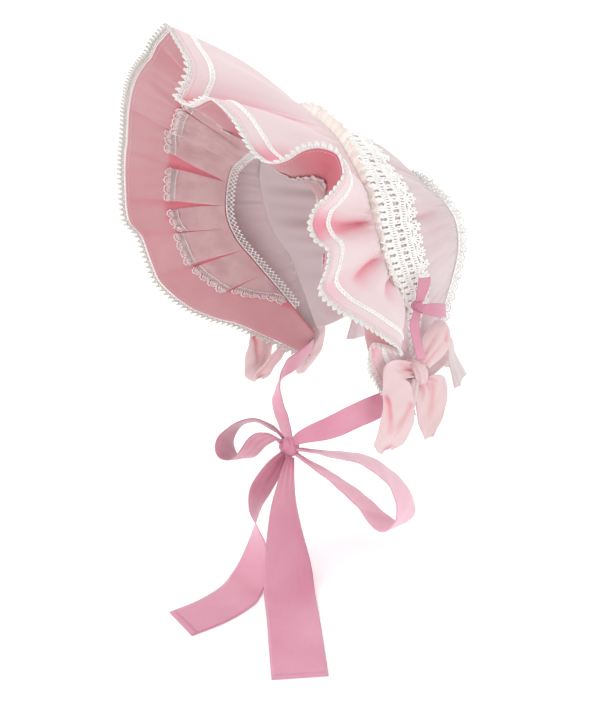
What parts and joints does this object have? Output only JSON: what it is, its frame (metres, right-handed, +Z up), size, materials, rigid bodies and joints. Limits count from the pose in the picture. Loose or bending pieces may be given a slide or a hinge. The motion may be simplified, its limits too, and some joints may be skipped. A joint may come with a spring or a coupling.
{
  "type": "bonnet",
  "caption": "Frilled bonnet with a flared ruffled brim, lace trims, gathered crown, side bows and satin ties knotted in a bow under the chin.",
  "frame": {"origin": "middle of the head that the bonnet is worn on", "axes": "-Y is the way the wearer faces, +X is the wearer's left, +Z is up"},
  "size_m": [0.3922, 0.3066, 0.4654],
  "materials": {
    "cloth_pink": "matt pale pink cloth",
    "cloth_pale": "matt greyed pink cloth",
    "cloth_rose": "matt rose cloth",
    "lace_white": "white cotton lace",
    "lace_cream": "cream lace",
    "satin_pink": "satin ribbon",
    "bow_pink": "soft pale pink cloth"
  },
  "bodies": {
    "root": {"brim": "cloth_pink", "brim_braid": "lace_white", "brim_edge_lace": "lace_white", "brim_lining": "cloth_rose", "chin_knot": "satin_pink", "chin_loop_back": "satin_pink", "chin_loop_front": "satin_pink", "chin_tail_long": "satin_pink", "chin_tail_short": "satin_pink", "crown_back": "cloth_pale", "crown_back_frill": "lace_white", "crown_lace": "lace_white", "crown_side": "cloth_pale", "hairline_lace": "lace_white", "lining_frill": "lace_white", "nape_curtain": "cloth_pale", "seam_frill": "lace_cream", "side_bow_left_front": "bow_pink", "side_bow_left_knot": "bow_pink", "side_bow_left_tail": "bow_pink", "side_bow_left_up": "bow_pink", "side_bow_right_front": "bow_pink", "side_bow_right_knot": "bow_pink", "side_bow_right_tail": "bow_pink", "side_bow_right_up": "bow_pink", "small_bow_left_knot": "satin_pink", "small_bow_left_rear": "satin_pink", "small_bow_left_tail": "satin_pink", "small_bow_left_up": "satin_pink", "small_bow_right_knot": "satin_pink", "small_bow_right_rear": "satin_pink", "small_bow_right_tail": "satin_pink", "small_bow_right_up": "satin_pink", "tie_left": "satin_pink", "tie_right": "satin_pink"}
  },
  "joints": []
}
